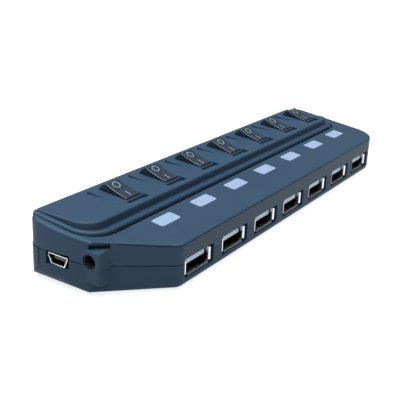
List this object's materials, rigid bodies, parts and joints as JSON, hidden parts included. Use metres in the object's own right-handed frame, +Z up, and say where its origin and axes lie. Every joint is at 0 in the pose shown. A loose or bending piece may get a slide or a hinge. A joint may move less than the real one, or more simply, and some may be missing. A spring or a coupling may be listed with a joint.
{
  "type": "usb hub",
  "caption": "Long desktop USB hub: ports along the front, a rocker switch and light window for each, mini USB and power inlets at one end.",
  "frame": {"origin": "bottom centre of the hub, on the surface its feet stand on", "axes": "+X along the row of ports away from the inlet end, -Y the port face, +Z up"},
  "size_m": [0.1747, 0.0424, 0.024],
  "materials": {
    "lower_plastic": "fine satin",
    "upper_plastic": "fine satin",
    "panel_plastic": "fine satin",
    "rocker_plastic": "satin",
    "switch_plastic": "satin",
    "window_plastic": "frosted",
    "port_steel": "bright",
    "port_plastic": "satin",
    "contact_gold": "bright",
    "board": "satin",
    "mini_plastic": "satin",
    "jack_plastic": "satin",
    "pin_brass": "bright",
    "spring_steel": "plain",
    "screw_steel": "plain",
    "foot_rubber": "matt",
    "led_lens": "clear",
    "chip_plastic": "matt",
    "can_metal": "satin"
  },
  "bodies": {
    "hub": {"lower_case": "lower_plastic", "upper_case": "upper_plastic", "switch_panel": "panel_plastic", "usb_a_shell_1": "port_steel", "usb_a_insert_1": "port_plastic", "light_window_1": "window_plastic", "switch_body_1": "switch_plastic", "usb_a_shell_2": "port_steel", "usb_a_insert_2": "port_plastic", "light_window_2": "window_plastic", "switch_body_2": "switch_plastic", "usb_a_shell_3": "port_steel", "usb_a_insert_3": "port_plastic", "light_window_3": "window_plastic", "switch_body_3": "switch_plastic", "usb_a_shell_4": "port_steel", "usb_a_insert_4": "port_plastic", "light_window_4": "window_plastic", "switch_body_4": "switch_plastic", "usb_a_shell_5": "port_steel", "usb_a_insert_5": "port_plastic", "light_window_5": "window_plastic", "switch_body_5": "switch_plastic", "usb_a_shell_6": "port_steel", "usb_a_insert_6": "port_plastic", "light_window_6": "window_plastic", "switch_body_6": "switch_plastic", "usb_a_shell_7": "port_steel", "usb_a_insert_7": "port_plastic", "light_window_7": "window_plastic", "switch_body_7": "switch_plastic", "usb_a_contacts": "contact_gold", "circuit_board": "board", "mini_usb_shell": "port_steel", "mini_usb_insert": "mini_plastic", "power_jack_body": "jack_plastic", "power_jack_pin": "pin_brass", "power_jack_spring": "spring_steel", "case_screws": "screw_steel", "rubber_feet": "foot_rubber", "indicator_leds": "led_lens", "hub_chips": "chip_plastic", "crystal": "can_metal", "capacitors": "can_metal", "switch_terminals": "spring_steel"},
    "rocker_1": {"rocker_1": "rocker_plastic"},
    "rocker_2": {"rocker_2": "rocker_plastic"},
    "rocker_3": {"rocker_3": "rocker_plastic"},
    "rocker_4": {"rocker_4": "rocker_plastic"},
    "rocker_5": {"rocker_5": "rocker_plastic"},
    "rocker_6": {"rocker_6": "rocker_plastic"},
    "rocker_7": {"rocker_7": "rocker_plastic"}
  },
  "joints": [
    {"name": "rocker_1_tip", "type": "hinge", "parent": "hub", "child": "rocker_1", "pos_m": [-0.0559, 0.0106, 0.0184], "axis": [-1, 0, 0], "range_deg": [0, 38]},
    {"name": "rocker_2_tip", "type": "hinge", "parent": "hub", "child": "rocker_2", "pos_m": [-0.035, 0.0106, 0.0184], "axis": [-1, 0, 0], "range_deg": [0, 38]},
    {"name": "rocker_3_tip", "type": "hinge", "parent": "hub", "child": "rocker_3", "pos_m": [-0.0141, 0.0106, 0.0184], "axis": [-1, 0, 0], "range_deg": [0, 38]},
    {"name": "rocker_4_tip", "type": "hinge", "parent": "hub", "child": "rocker_4", "pos_m": [0.0068, 0.0106, 0.0184], "axis": [-1, 0, 0], "range_deg": [0, 38]},
    {"name": "rocker_5_tip", "type": "hinge", "parent": "hub", "child": "rocker_5", "pos_m": [0.0277, 0.0106, 0.0184], "axis": [-1, 0, 0], "range_deg": [0, 38]},
    {"name": "rocker_6_tip", "type": "hinge", "parent": "hub", "child": "rocker_6", "pos_m": [0.0486, 0.0106, 0.0184], "axis": [-1, 0, 0], "range_deg": [0, 38]},
    {"name": "rocker_7_tip", "type": "hinge", "parent": "hub", "child": "rocker_7", "pos_m": [0.0695, 0.0106, 0.0184], "axis": [-1, 0, 0], "range_deg": [0, 38]}
  ]
}
